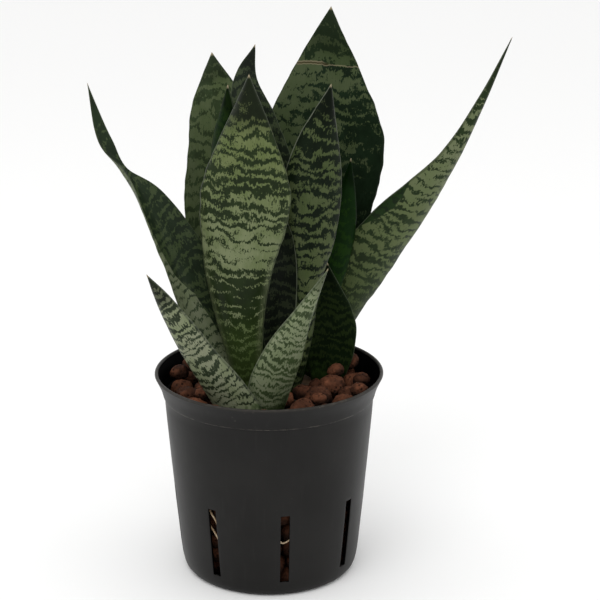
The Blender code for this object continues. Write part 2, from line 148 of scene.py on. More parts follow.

# How each leaf is marked. pale and dark are the ground and band colours of the outer face, pale_top the
# ground near the tip; inner_pale and inner_dark are those of the inner face. dense is how much of the ground
# the dark lines take, at even steps from foot to tip: none at 0, nearly all from 1 upward, never over 2.
# inner_dense is the same on the inner face; the shaded side adds to both on one side of the leaf as painted
# shade. spacing is the distance between lines in millimetres. base is the length of the green base, and its
# colour is given with it; on leaf_back_right_tall the base is long and dark, painted shade over the lower
# part of the leaf. margin is the strength of the pale line on the margins, margin_glow that of the paler edge
# beside it. tip is the length of the shaded tip and tip_shade what is left of its brightness. scar is how far
# along a dry crease runs across the leaf. wax is how strongly the skin mirrors the light.
LEAF_LOOKS = {
    "leaf_front_centre": dict(
        pale=(0.150, 0.174, 0.090), pale_top=(0.098, 0.122, 0.044), dark=(0.009, 0.016, 0.004),
        dense=[0.62, 0.66, 0.72, 0.78, 0.98, 0.15, 0.52, 0.80, 0.46, 0.46, 1.05, 1.6],
        base=62, base_and_shade_colour=(0.070, 0.115, 0.028), spacing=6.4, margin=0.10, margin_glow=0.45, tip=34,
        tip_shade=0.45),
    "leaf_centre_right": dict(
        pale=(0.060, 0.076, 0.032), pale_top=(0.054, 0.070, 0.029), dark=(0.0035, 0.007, 0.0028),
        dense=[0.7, 0.5, 0.42, 0.42, 0.48, 0.62, 0.58, 0.66, 1.3], base=10, spacing=7.2, margin=0.45, tip=22,
        tip_shade=0.5, wax=0.05),
    # leaf_back_right_tall: the long dark base and the shaded side are painted shade on the leaf's lower and
    # right part
    "leaf_back_right_tall": dict(
        inner_pale=(0.056, 0.073, 0.034), inner_dark=(0.0055, 0.012, 0.005),
        inner_dense=[0.8, 0.8, 0.80, 0.76, 0.70, 0.56, 0.50, 0.28, 0.66, 1.4], shaded_side=-0.55, base=165,
        base_and_shade_colour=(0.0040, 0.010, 0.0040), spacing=8.5, margin=0.10, tip=30, tip_shade=0.5, scar=184.0,
        wax=0.06),
    "leaf_right_leaning": dict(
        pale=(0.082, 0.104, 0.041), pale_top=(0.130, 0.150, 0.080), dark=(0.010, 0.019, 0.005),
        dense=[0.75, 0.72, 0.62, 0.50, 0.34, 0.26, 0.42, 0.95, 1.5], base=96,
        inner_pale=(0.010, 0.026, 0.005), inner_dark=(0.005, 0.012, 0.003), base_and_shade_colour=(0.024, 0.042, 0.008),
        spacing=6.5, margin=0.15, tip=30, tip_shade=0.5),
    "leaf_far_left": dict(
        pale=(0.150, 0.170, 0.102), dark=(0.024, 0.036, 0.016), inner_pale=(0.040, 0.056, 0.024),
        inner_dark=(0.009, 0.016, 0.007), dense=[0.3, 0.25, 0.2, 0.25, 0.3, 0.4, 1.5],
        inner_dense=[0.7, 0.62, 0.6, 0.6, 0.6, 0.8, 1.5], base=12, spacing=6.5, margin=0.25, tip=16),
    "leaf_back_left": dict(
        inner_pale=(0.086, 0.110, 0.052), inner_dark=(0.024, 0.037, 0.015),
        inner_dense=[0.7, 0.5, 0.45, 0.42, 0.36, 0.40, 0.34, 0.45, 1.5], base=20, spacing=7.5, margin=0.08),
    "leaf_back_centre": dict(
        inner_pale=(0.042, 0.055, 0.028), inner_dark=(0.008, 0.012, 0.007),
        inner_dense=[0.8, 0.7, 0.7, 0.62, 0.5, 0.55, 0.75, 1.5], base=20, spacing=6.5, margin=0.15),
    # leaf_inner_left and leaf_inner_right lie deep between other leaves: their very dark colours are painted
    # shade, and so are leaf_inner_right's bands closing up toward its tip
    "leaf_inner_left": dict(
        pale=(0.009, 0.021, 0.004), dark=(0.003, 0.009, 0.002), dense=[0.5, 0.5], base=20, spacing=8.0,
        margin=0.1, wax=0.02),
    "leaf_inner_right": dict(
        pale=(0.008, 0.024, 0.003), dark=(0.003, 0.011, 0.002), dense=[0.4, 0.5, 0.8, 1.4], base=20,
        spacing=8.0, margin=0.0, wax=0.02),
    "leaf_right_low": dict(
        inner_pale=(0.013, 0.022, 0.006), inner_dark=(0.003, 0.007, 0.002), inner_dense=[0.6, 0.55, 0.6, 0.9],
        base=16, spacing=4.6, margin=0.15, wax=0.03),
    "leaf_pup_right": dict(
        pale=(0.172, 0.196, 0.118), dark=(0.028, 0.042, 0.016), dense=[0.60, 0.42, 0.52, 0.46, 0.36, 0.3],
        base=8, spacing=4.4, margin=0.3),
    "leaf_pup_left": dict(
        pale=(0.190, 0.205, 0.132), dark=(0.016, 0.023, 0.011),
        dense=[0.14, 0.24, 0.42, 0.48, 0.46, 0.70, 1.6], base=4, spacing=5.0, margin=0.2, tip=24,
        tip_shade=0.42),
}
PLAIN_LOOK = dict(pale=(0.096, 0.120, 0.056), dark=(0.012, 0.022, 0.008), inner_pale=(0.040, 0.058, 0.024),
                  inner_dark=(0.008, 0.016, 0.006), dense=[0.8, 0.5, 0.45, 0.4, 0.5, 1.1],
                  inner_dense=[0.8, 0.6, 0.55, 0.5, 0.6, 1.1], shaded_side=0.0, base=20,
                  base_and_shade_colour=(0.026, 0.050, 0.011), spacing=7.0, margin=0.2, margin_glow=0.0,
                  tip=18, tip_shade=0.55, scar=None, wax=0.10)

# The margins that fold over and show the other face: the side, the face that the flap lies on (-1 for the
# inner one), and the flap's width in millimetres at even steps from foot to tip
FOLDS = {
    "leaf_far_left": dict(side=1, face=-1, widths=[19, 19, 19, 19, 17, 8.0, 2.5] + [0] * 6),
    "leaf_right_leaning": dict(side=-1, face=1, widths=[0] * 9 + [4.2, 5.5, 3.4] + [0] * 9),
}
FLAP_HEIGHT = 0.6                   # how far a flap stands up from the face, in millimetres

# The roots that show in the front slots: (angle from the front in degrees, height, distance in from the wall)
ROOTS = {
    "root_left_upper": dict(start=[(-21, -33, 88), (-27, -37, 84)],
                            wall=[(-41, 74, 1.5), (-42, 62, 0), (-40, 52, 0), (-35, 44, 0), (-30, 36, 0)]),
    "root_left_lower": dict(start=[(-24.5, -27.5, 88), (-31, -31, 84)],
                            wall=[(-50, 72, 1.5), (-51, 58, 0), (-46, 47, 0), (-38, 38, 0), (-31, 28, 0)]),
    "root_front": dict(start=[(-4, -37, 86), (0, -43, 82)],
                       wall=[(4, 70, 1.5), (3, 56, 0), (3, 44, 0), (8, 34, 0), (15, 36, 0)]),
}

# Fixed tints
PATCH_TINT = (0.66, 0.78, 0.55)         # what a darker patch leaves of a leaf's ground
SCAR_BROWN = (0.050, 0.030, 0.014)      # between the two lines of a crease scar
SCAR_GREEN = (0.020, 0.036, 0.010)      # mixed into the leaf above the scar
CLAY_DUST = (0.20, 0.105, 0.066)
# painted shade in the pinholes
PINHOLE_PAINTED_SHADE = (0.006, 0.003, 0.002)
# painted shade under each pebble
UNDERSIDE_PAINTED_SHADE = (0.007, 0.0035, 0.002)
RHIZOME_SCARS = (0.030, 0.017, 0.009)
ROOT_FLECKS = (0.26, 0.17, 0.09)
FLOOR_GRAIN = (0.86, 0.86, 0.855)

# Camera and studio
CAMERA_PLACE = (0.0176, -1.0368, 0.4941)
CAMERA_TILT = math.radians(72.14)
CAMERA_LENS = 116.14
FLOOR_SIZE = 4.0

# Each light: its place, its size and the setting that holds its power
LIGHTS = {
    "key_light": ((-0.3, -0.8, 1.3), 0.9, "key_power"),
    "left_light": ((-1.1, 0.1, 0.45), 0.8, "side_power"),
    "right_light": ((1.1, 0.1, 0.45), 0.8, "side_power"),
}


# ------------------------------------------------------------------ settings
def tint(name, description, default):
    return FloatVectorProperty(name=name, description=description, size=3, default=default, min=0, max=1,
                               subtype="COLOR")


def length(name, description, default, low, high):
    return FloatProperty(name=name, description=description, default=default * MM, min=low * MM,
                         max=high * MM, unit="LENGTH", precision=4)


def roughness(description):
    return FloatProperty(name="Roughness", description=description, default=0.42, min=0, max=1,
                         subtype="FACTOR")


def power(name, description, default):
    return FloatProperty(name=name, description=description, default=default, min=0, max=100, unit="POWER")


class GrowPotSettings(bpy.types.PropertyGroup):
    slot_width: length("Slot width", "Width of the drain slots", 5.0, 1, 9)
    plastic: tint("Plastic", "Colour of the moulded plastic", (0.0092, 0.0088, 0.0083))
    scuff: tint("Scuffs", "Colour of the scuffed lip and of the dust", (0.20, 0.18, 0.15))
    gloss: roughness("Roughness of the plastic")


class LeafSettings(bpy.types.PropertyGroup):
    shine: roughness("Roughness of the leaf's waxy skin")
    waviness: length("Margin waves", "Height of the waves along the leaf margins", 0.7, 0, 3)
    margin: tint("Margin", "Colour of the pale line on the margins", (0.19, 0.21, 0.15))
    dry: tint("Dry tissue", "Colour of dry tips and scars", (0.26, 0.22, 0.14))
    seed: IntProperty(name="Marking seed", description="Changes the run of the bands", default=3)


class PebbleSettings(bpy.types.PropertyGroup):
    fill_radius: length("Filling pebble", "Mean radius of the pebbles in the pot", 6.0, 3, 9)
    clay: tint("Fired clay", "Main colour of the pebbles", (0.104, 0.038, 0.019))
    soot: tint("Dark clay", "Colour of the darker, over-fired pebbles", (0.024, 0.010, 0.006))
    seed: IntProperty(name="Pebble seed", description="Changes the shapes and the filling", default=11)


class RootSettings(bpy.types.PropertyGroup):
    thickness: length("Root thickness", "Radius of the roots at the rhizome", 0.8, 0.2, 2)
    fibre: tint("Root", "Colour of the roots", (0.52, 0.42, 0.28))
    flesh: tint("Rhizome", "Colour of the rhizome", (0.085, 0.050, 0.025))


class StudioSettings(bpy.types.PropertyGroup):
    floor: tint("Floor", "Colour of the floor", (0.92, 0.92, 0.915))
    daylight: FloatProperty(name="Surround", description="Brightness of the pale surround", default=1.0,
                            min=0, max=10)
    side_power: power("Side lights", "Power of each side light", 1.2)
    key_power: power("Key light", "Power of the light above the front", 5.0)


# ------------------------------------------------------------------ meshes
def mm(*values):
    return Vector(values) * MM


def add_object(name, data):
    item = bpy.data.objects.new(name, data)
    bpy.context.scene.collection.objects.link(item)
    return item


def add_piece(name, bm, material, slot, *cad_nodes, sharp_angle=None):
    """The finished piece: its mesh, its material, the nodes it stands for and the body it rides on."""
    mesh = bpy.data.meshes.new(name)
    bm.to_mesh(mesh)
    bm.free()
    mesh.shade_smooth()
    if sharp_angle is not None:
        mesh.set_sharp_from_angle(angle=sharp_angle)
    mesh.materials.append(material)
    piece = add_object(name, mesh)
    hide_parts(*cad_nodes)
    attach(piece, BODY)
    return piece


def catmull_rom(values, share):
    """A smooth value at a share from 0 to 1 along evenly spaced values."""
    if len(values) == 1:
        return values[0]
    spans = len(values) - 1
    place = min(share * spans, spans - 1e-6)
    index = int(place)
    u = place - index
    p1, p2 = values[index], values[index + 1]
    p0 = values[index - 1] if index > 0 else p1 * 2 - p2
    p3 = values[index + 2] if index + 2 <= spans else p2 * 2 - p1
    return (p1 * 2 + (p2 - p0) * u + (p0 * 2 - p1 * 5 + p2 * 4 - p3) * u ** 2
            + (p1 * 3 - p0 - p2 * 3 + p3) * u ** 3) * 0.5


def wall_radius(height):
    """The outer radius of the pot wall at a height."""
    outside = [(radius * MM, level * MM) for radius, level in reversed(POT_WALL)]
    for (low_radius, low), (high_radius, high) in zip(outside, outside[1:]):
        if height <= high:
            share = max(0.0, (height - low) / (high - low))
            return low_radius + share * (high_radius - low_radius)
    return RIM_RADIUS


# ------------------------------------------------------------------ grow pot
def pot_profile():
    """The pot's section as a run of (radius, height) in millimetres, from the floor's middle over the lip to
    the middle of the underside."""
    wall = WALL / MM
    inside = [(radius - wall, max(level, FLOOR)) for radius, level in reversed(POT_WALL[:-2])]
    lip = [(LIP_CENTRE[0] + LIP_ROUNDING * math.cos(math.radians(turn)),
            LIP_CENTRE[1] + LIP_ROUNDING * math.sin(math.radians(turn)))
           for turn in (170, 140, 115, 90, 65, 40, 15, -10)]
    underside = [(45.6, 0.0), (44.6, 0.0), (44.0, 0.25), (43.4, 0.55), (40.0, 0.6), (20.0, 0.6), (3.2, 0.6),
                 (2.6, 0.35), (0.0, 0.3)]
    floor = [(radius, FLOOR) for radius in (0.0, 20.0, 40.0, 46.3)]
    return floor + inside + lip + POT_WALL + underside


def open_slots(bm, slot_width):
    """Opens the drain slots in both faces of the wall, straightens their sides and closes the edges."""
    margin = 0.01 * MM
    step = math.tau / POT_STEPS
    centres = {face: face.calc_center_median() for face in bm.faces}
    centres = {face: centre for face, centre in centres.items() if SLOT_BOTTOM < centre.z < SLOT_TOP}
    wall_verts = [vert for vert in bm.verts if SLOT_BOTTOM - margin < vert.co.z < SLOT_TOP + margin]
    loops = []
    doomed = []
    for index in range(SLOT_COUNT):
        middle = SLOT_PHASE + index * math.tau / SLOT_COUNT
        ahead = Vector((math.sin(middle), -math.cos(middle), 0))
        aside = Vector((math.cos(middle), math.sin(middle), 0))
        for vert in wall_verts:
            along = vert.co.dot(ahead)
            across = vert.co.dot(aside)
            if along < SLOT_REACH:
                continue
            column = round(math.atan2(across, along) / step)
            if abs(column) <= SLOT_COLUMNS:
                radius = math.hypot(along, across)
                across = column * slot_width / 2 / SLOT_COLUMNS
                along = math.sqrt(radius ** 2 - across ** 2)
                vert.co = ahead * along + aside * across + Vector((0, 0, vert.co.z))
        faces = [face for face in centres
                 if centres[face].dot(ahead) > SLOT_REACH and abs(centres[face].dot(aside)) < slot_width / 2]
        border = {edge for face in faces for edge in face.edges
                  if sum(other in faces for other in edge.link_faces) == 1}
        loops.append(list(border))
        doomed.extend(faces)
    bmesh.ops.delete(bm, geom=doomed, context="FACES_ONLY")
    mouths = []
    for border in loops:
        bmesh.ops.bridge_loops(bm, edges=border)
        mouths.extend(border)
    loose = [edge for edge in bm.edges if not edge.link_faces]
    bmesh.ops.delete(bm, geom=loose, context="EDGES")
    mouths = [edge for edge in mouths if edge.is_valid]
    bmesh.ops.bevel(bm, geom=mouths, offset=0.22 * MM, offset_type="OFFSET", segments=2, profile=0.5,
                    affect="EDGES", material=-1, clamp_overlap=True)


def pot_mesh(settings):
    bm = bmesh.new()
    points = [bm.verts.new((radius * MM, 0, level * MM)) for radius, level in pot_profile()]
    edges = [bm.edges.new(pair) for pair in zip(points, points[1:])]
    bmesh.ops.rotate(bm, verts=bm.verts, cent=(0, 0, 0),
                     matrix=Matrix.Rotation(SLOT_PHASE - math.pi / 2, 3, "Z"))
    bmesh.ops.spin(bm, geom=points + edges, cent=(0, 0, 0), axis=(0, 0, 1), angle=math.tau, steps=POT_STEPS,
                   use_merge=True)
    bmesh.ops.remove_doubles(bm, verts=bm.verts, dist=0.001 * MM)
    bmesh.ops.recalc_face_normals(bm, faces=bm.faces)
    open_slots(bm, settings.slot_width)
    return bm


def gate_mark_mesh():
    """The short moulding tick just under the rim band, above the first slot."""
    height = 105.2 * MM
    bm = bmesh.new()
    bmesh.ops.create_cube(bm, size=1.0)
    bmesh.ops.bevel(bm, geom=bm.edges[:], offset=0.18, offset_type="OFFSET", segments=2, profile=0.5,
                    affect="EDGES", material=-1)
    bmesh.ops.transform(bm, verts=bm.verts[:], matrix=(
        Matrix.Rotation(SLOT_PHASE, 4, "Z") @ Matrix.Translation((0, -wall_radius(height), height))
        @ Matrix.Diagonal((0.5 * MM, 0.9 * MM, 3.4 * MM, 1))))
    mesh = bpy.data.meshes.new("gate_mark")
    bm.to_mesh(mesh)
    bm.free()
    return mesh


# ------------------------------------------------------------------ leaves
def leaf_frame(leaf, share):
    """The spine's point, its side vector and its outward vector at a share of the leaf's length."""
    spine = [mm(*point) for point in leaf["spine"]]
    point = catmull_rom(spine, share)
    ahead = catmull_rom(spine, min(1.0, share + 0.01)) - catmull_rom(spine, max(0.0, share - 0.01))
    along = ahead.normalized()
    face = math.radians(catmull_rom(leaf["face"], share))
    outward = Vector((math.sin(face), -math.cos(face), 0))
    side = along.cross(outward).normalized()
    return point, side, side.cross(along)


def fold_width(fold, share):
    """The width of a folded margin's flap, in millimetres, at a share of the leaf's length."""
    widths = fold["widths"]
    place = min(share, 0.9999) * (len(widths) - 1)
    low = int(place)
    return widths[low] + (place - low) * (widths[low + 1] - widths[low])


def leaf_mesh(name, leaf, settings, seed):
    """A channelled blade, lens-shaped across, made from a sphere whose poles are its foot and its tip. It
    keeps each point's place on the leaf for the markings: across, along and the face that it is on, then the
    distances from the margin and from the tip."""
    bm = bmesh.new()
    bmesh.ops.create_uvsphere(bm, u_segments=LEAF_AROUND, v_segments=LEAF_ALONG, radius=1.0)
    place = bm.verts.layers.float_vector.new("leaf_place")
    edge = bm.verts.layers.float_vector.new("leaf_edge")
    spine = [mm(*point) for point in leaf["spine"]]
    lengths = [0.0]
    for index in range(LEAF_ALONG):
        piece = catmull_rom(spine, (index + 1) / LEAF_ALONG) - catmull_rom(spine, index / LEAF_ALONG)
        lengths.append(lengths[-1] + piece.length / MM)
    total = lengths[-1]
    shares = [FOOT_ROUNDING if ring == 1 else ring / LEAF_ALONG for ring in range(LEAF_ALONG + 1)]
    frames = [leaf_frame(leaf, share) for share in shares]
    fold = FOLDS.get(name)
    for vert in bm.verts:
        ring = round(math.acos(max(-1.0, min(1.0, -vert.co.z))) / math.pi * LEAF_ALONG)
        share = shares[ring]
        point, side, outward = frames[ring]
        turn = math.atan2(vert.co.y, vert.co.x)
        across = -math.cos(turn)
        width = max(0.25, catmull_rom(leaf["widths"], share))
        if ring in (0, LEAF_ALONG):
            vert.co = point
            vert[place] = (0, lengths[ring], 0)
            vert[edge] = (width, total - lengths[ring], share)
            continue
        channel = catmull_rom(leaf["channel"], share)
        rim = abs(across) ** 3
        wander = noise.noise(Vector((lengths[ring] * 0.045, seed + math.copysign(3.1, across), 0.3)))
        ripple = noise.noise(Vector((lengths[ring] * 0.16, seed + math.copysign(7.7, across), 4.3)))
        fade = min(1.0, width / 8.0)
        wave = settings.waviness * fade * rim * (wander * 1.6 + ripple * 0.5)
        width *= 1.0 + 0.02 * ripple * rim
        half_thick = leaf["thick"] * MM / 2 * min(1.0, width / THINNING_WIDTH) ** 0.5
        vert.co = (point + side * width * MM * across - outward * width * MM * channel * across ** 2
                   + outward * half_thick * math.sin(turn) + outward * wave)
        if "kink" in leaf:
            above = max(0.0, lengths[ring] - leaf["kink"][0])
            vert.co -= outward * above * math.tan(math.radians(leaf["kink"][1])) * MM * fade
        if fold:
            flap = fold_width(fold, share) - (1 - across * fold["side"]) * width
            on_face = max(0.0, math.sin(turn) * fold["face"])
            vert.co += outward * fold["face"] * on_face * max(0.0, min(1.0, flap)) * FLAP_HEIGHT * MM
        vert[place] = (across * width, lengths[ring], math.sin(turn))
        vert[edge] = ((1 - abs(across)) * width, total - lengths[ring], share)
    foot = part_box(name)[0][2]
    for vert in bm.verts:
        vert.co.z = max(vert.co.z, foot)
    return bm


# ------------------------------------------------------------------ pebbles
def add_pebble(bm, centre, radius, chance, divisions, stretch=0.2, lumps=0.14):
    """One lumpy, slightly long clay pebble. Its points keep how far up they look, for the painted shade on
    its underside, and its tone.
    """
    layers = bm.verts.layers.float_vector
    skin = layers.get("pebble_skin") or layers.new("pebble_skin")
    verts = bmesh.ops.create_icosphere(bm, subdivisions=divisions, radius=1.0)["verts"]
    start = Vector([chance.uniform(-40, 40) for _ in range(3)])
    tone = chance.random()
    for vert in verts:
        direction = vert.co.normalized()
        vert[skin] = (direction.z, tone, 0)
        broad = noise.noise(direction * 1.1 + start)
        knobs = noise.noise(direction * 2.6 + start * 2)
        vert.co = direction * (1.0 + lumps * (broad * 0.9 + knobs * 0.75))
        if divisions > 3:
            pit = noise.noise(direction * 6.5 + start * 3)
            vert.co -= direction * 0.06 * max(0.0, pit - 0.2) / 0.4
            vert.co += direction * 0.008 * noise.noise(direction * 13.0 + start)
    long, flat = 1.0 + chance.uniform(0.2, 1.0) * stretch, 1.0 - chance.uniform(0.2, 1.0) * stretch * 0.7
    heading = Matrix.Rotation(chance.uniform(0, math.tau), 4, "Z")
    lean = Matrix.Rotation(chance.uniform(-0.45, 0.45), 4, "Y")
    bmesh.ops.transform(bm, verts=verts, matrix=(
        Matrix.Translation(centre) @ heading @ lean
        @ Matrix.Diagonal((radius * long, radius * (long + flat) / 2, radius * flat, 1))))
    return verts


def in_rhizome(spot, clear):
    for x, y, z, *half_sizes in CROWNS:
        away = spot - mm(x, y, z)
        if sum((away[axis] / (half_sizes[axis] * MM + clear)) ** 2 for axis in range(3)) < 1.0:
            return True
    return False


def pebble_fill_mesh(settings):
    """The loose pebbles under the top layer, in staggered rings from the wall inward."""
    chance = random.Random(settings.seed)
    bm = bmesh.new()
    size = settings.fill_radius
    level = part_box("clay_pebble_bed")[0][2] + size
    while level < BED_TOP - size * 0.55:
        radius = wall_radius(level) - WALL - BED_WALL_GAP - size * 0.96
        while radius > size * 0.6:
            count = max(1, round(math.tau * radius / (size * 2.0)))
            start = chance.uniform(0, math.tau)
            for index in range(count):
                angle = start + index * math.tau / count
                own = size * chance.uniform(0.84, 1.06)
                reach = radius - chance.uniform(0.0, 0.8) * MM
                spot = Vector((math.sin(angle) * reach, -math.cos(angle) * reach,
                               level + chance.uniform(-0.12, 0.12) * size))
                if not in_rhizome(spot, own * 0.4):
                    add_pebble(bm, spot, own, chance, 2, stretch=0.1)
            radius -= size * 1.82
        level += size * 1.62
    return bm


def rhizome_mesh():
    """The rhizome's fleshy swellings, ringed by the scars of scale leaves, level where the leaves stand."""
    bm = bmesh.new()
    for index, (x, y, z, *half_sizes) in enumerate(CROWNS):
        verts = bmesh.ops.create_uvsphere(bm, u_segments=48, v_segments=40, radius=1.0)["verts"]
        long_axis = half_sizes.index(max(half_sizes))
        for vert in verts:
            scar = math.sin(vert.co[long_axis] * 16 + index) ** 8
            lump = noise.noise(vert.co * 2.2 + Vector((index * 9.0, 0, 0)))
            vert.co *= 1.0 - 0.035 * scar - 0.05 * max(0.0, lump)
        bmesh.ops.transform(bm, verts=verts, matrix=(
            Matrix.Translation(mm(x, y, z)) @ Matrix.Diagonal((*mm(*half_sizes), 1))))
    for vert in bm.verts:
        vert.co.z = min(vert.co.z, CROWN_TOP)
    return bm


# ------------------------------------------------------------------ roots
def root_route(root):
    """The root's points: out from the rhizome, then down between the pebbles and the wall."""
    points = [mm(*point) for point in root["start"]]
    for degrees, height, inset in root["wall"]:
        angle = math.radians(degrees)
        radius = wall_radius(height * MM) - WALL - BED_WALL_GAP / 2 - inset * MM
        points.append(Vector((radius * math.sin(angle), -radius * math.cos(angle), height * MM)))
    return points


def root_mesh(root, settings, seed):
    """A root that tapers to its tip, with small kinks, as one closed tube."""
    points = root_route(root)
    count = 72
    curve = bpy.data.curves.new("root_route", "CURVE")
    curve.dimensions = "3D"
    curve.bevel_depth = settings.thickness
    curve.bevel_resolution = 3
    curve.use_fill_caps = True
    spline = curve.splines.new("POLY")
    spline.points.add(count)
    for index, control in enumerate(spline.points):
        share = index / count
        spot = catmull_rom(points, share)
        kink = Vector([noise.noise(Vector((share * 14, seed, axis * 5.0))) for axis in range(3)])
        control.co = (*(spot + kink * 0.25 * MM), 1.0)
        control.radius = (1.0 - 0.45 * share) * (1.0 + 0.18 * noise.noise(Vector((share * 40, seed, 9))))
    control.radius = 0.25
    item = add_object("root_route", curve)
    bpy.context.view_layer.update()
    mesh = bpy.data.meshes.new_from_object(item.evaluated_get(bpy.context.evaluated_depsgraph_get()))
    bpy.data.objects.remove(item)
    bpy.data.curves.remove(curve)
    bm = bmesh.new()
    bm.from_mesh(mesh)
    bpy.data.meshes.remove(mesh)
    bmesh.ops.remove_doubles(bm, verts=bm.verts, dist=0.005 * MM)
    bmesh.ops.recalc_face_normals(bm, faces=bm.faces)
    return bm


# ------------------------------------------------------------------ shading
class Nodes:
    """Places nodes in a tree and links or sets their sockets."""

    def __init__(self, tree):
        self.tree = tree
        tree.nodes.clear()

    def add(self, kind, **settings):
        node = self.tree.nodes.new(kind)
        for name, value in settings.items():
            setattr(node, name, value)
        return node

    def put(self, socket, value):
        if isinstance(value, bpy.types.NodeSocket):
            self.tree.links.new(value, socket)
        else:
            if socket.type == "RGBA" and len(value) == 3:
                value = (*value, 1.0)
            socket.default_value = value

    def math(self, operation, *values, clamp=False):
        node = self.add("ShaderNodeMath", operation=operation, use_clamp=clamp)
        for socket, value in zip(node.inputs, values):
            self.put(socket, value)
        return node.outputs[0]

    def times(self, first, second):
        return self.math("MULTIPLY", first, second)

    def plus(self, first, second, clamp=False):
        return self.math("ADD", first, second, clamp=clamp)

    def minus(self, first, second):
        return self.math("SUBTRACT", first, second)

    def around(self, value, size):
        """Turns a value that goes from 0 to 1 into one that goes from -size / 2 to size / 2."""
        return self.times(self.minus(value, 0.5), size)

    def ease(self, value, low, high, start=0.0, end=1.0):
        """Goes smoothly from start to end while value goes from low to high."""
        node = self.add("ShaderNodeMapRange", interpolation_type="SMOOTHSTEP")
        for socket, number in zip(node.inputs, (value, low, high, start, end)):
            self.put(socket, number)
        return node.outputs[0]

    def texture(self, kind, output, **values):
        node = self.add(kind)
        for name, value in values.items():
            self.put(node.inputs[name], value)
        return node.outputs[output]

    def noise(self, vector, scale=1.0, detail=2.0, roughness=0.5):
        return self.texture("ShaderNodeTexNoise", "Fac", Vector=vector, Scale=scale, Detail=detail,
                            Roughness=roughness)

    def cells(self, vector, scale):
        return self.texture("ShaderNodeTexVoronoi", "Distance", Vector=vector, Scale=scale)

    def spot(self):
        """The place on the object itself."""
        return self.add("ShaderNodeTexCoord").outputs["Object"]

    def attribute(self, name):
        return self.add("ShaderNodeAttribute", attribute_name=name).outputs["Vector"]

    def split(self, vector):
        node = self.add("ShaderNodeSeparateXYZ")
        self.put(node.inputs[0], vector)
        return node.outputs

    def join(self, *values):
        node = self.add("ShaderNodeCombineXYZ")
        for socket, value in zip(node.inputs, values):
            self.put(socket, value)
        return node.outputs[0]

    def stretch(self, vector, *rates):
        return self.join(*(self.times(part, rate) for part, rate in zip(self.split(vector), rates)))

    def mix(self, share, first, second, blend="MIX"):
        node = self.add("ShaderNodeMix", data_type="RGBA", blend_type=blend)
        self.put(node.inputs[0], share)
        self.put(node.inputs[6], first)
        self.put(node.inputs[7], second)
        return node.outputs[2]

    def group(self, tree, **values):
        node = self.add("ShaderNodeGroup", node_tree=tree)
        for name, value in values.items():
            self.put(node.inputs[name.replace("_", " ")], value)
        return node.outputs

    def bump(self, height, strength, distance, normal=None):
        node = self.add("ShaderNodeBump")
        self.put(node.inputs["Height"], height)
        self.put(node.inputs["Strength"], strength)
        self.put(node.inputs["Distance"], distance)
        if normal is not None:
            self.put(node.inputs["Normal"], normal)
        return node.outputs[0]


def new_group(name, inputs, outputs):
    """A shader node group with its named sockets, and the nodes helper for its inside."""
    tree = bpy.data.node_groups.new(name, "ShaderNodeTree")
    for label, kind in inputs:
        tree.interface.new_socket(name=label, in_out="INPUT", socket_type=f"NodeSocket{kind}")
    for label, kind in outputs:
        tree.interface.new_socket(name=label, in_out="OUTPUT", socket_type=f"NodeSocket{kind}")
    net = Nodes(tree)
    return tree, net, net.add("NodeGroupInput").outputs, net.add("NodeGroupOutput").inputs


def new_material(name):
    material = bpy.data.materials.new(name)
    material.use_nodes = True
    net = Nodes(material.node_tree)
    shader = net.add("ShaderNodeBsdfPrincipled")
    output = net.add("ShaderNodeOutputMaterial")
    net.tree.links.new(shader.outputs[0], output.inputs["Surface"])
    return material, net, shader.inputs


def leaf_band_group():
    """The dark markings of a leaf: jagged lines across it, which fray into flecks along the fibres and run
    together where Dense is high."""
    tree, net, given, out = new_group(
        "Leaf bands",
        [("Place", "Vector"), ("Seed", "Float"), ("Spacing", "Float"), ("Dense", "Float")],
        [("Dark", "Float"), ("Tone", "Float"), ("Fibre", "Float")])
    across, along, _ = net.split(given["Place"])
    seed = given["Seed"]

    def marks(across_rate, along_rate, shift, detail=2.0):
        place = net.join(net.times(across, across_rate), net.times(along, along_rate), net.plus(seed, shift))
        return net.noise(place, 1.0, detail, 0.6)

    shifted = net.plus(along, net.around(marks(1.15, 0.17, 0.0, 3.0), 6.2))
    shifted = net.plus(shifted, net.around(marks(0.27, 0.11, 5.0, 1.0), 5.0))
    run = net.plus(net.math("DIVIDE", shifted, given["Spacing"]), net.around(marks(0.062, 0.055, 9.0), 3.4))
    off_line = net.times(net.math("ABSOLUTE", net.minus(net.math("FRACT", run), 0.5)), 2.0)
    off_line = net.plus(off_line, net.around(marks(1.05, 0.62, 13.0, 3.0), 1.9))
    mottled = net.ease(marks(0.05, 0.035, 33.0, 1.0), 0.45, 0.65, 0.0, 1.3)
    off_line = net.plus(off_line, net.times(net.around(marks(1.9, 1.3, 37.0), 1.6), mottled))
    dense = net.plus(given["Dense"], net.around(marks(0.045, 0.05, 21.0, 1.0), 0.75))
    dense = net.plus(dense, net.around(marks(0.17, 0.24, 27.0), 1.4))
    dark = net.minus(1.0, net.ease(off_line, net.minus(dense, 0.09), net.plus(dense, 0.09)))
    net.put(out["Dark"], dark)
    net.put(out["Tone"], marks(0.12, 0.07, 40.0, 3.0))
    net.put(out["Fibre"], marks(3.2, 0.12, 60.0))
    return tree


def evenly(net, share, values):
    """A value that eases between evenly spaced ones, none over 2, as share goes from 0 to 1."""
    ramp = net.add("ShaderNodeValToRGB")
    net.put(ramp.inputs[0], share)
    stops = ramp.color_ramp.elements
    for index in range(1, len(values) - 1):
        stops.new(index / (len(values) - 1))
    for stop, value in zip(stops, values):
        stop.color = (value / 2, value / 2, value / 2, 1.0)
    return net.times(ramp.outputs[0], 2.0)


def toned(colour, gain):
    return tuple(min(1.0, part * gain) for part in colour)


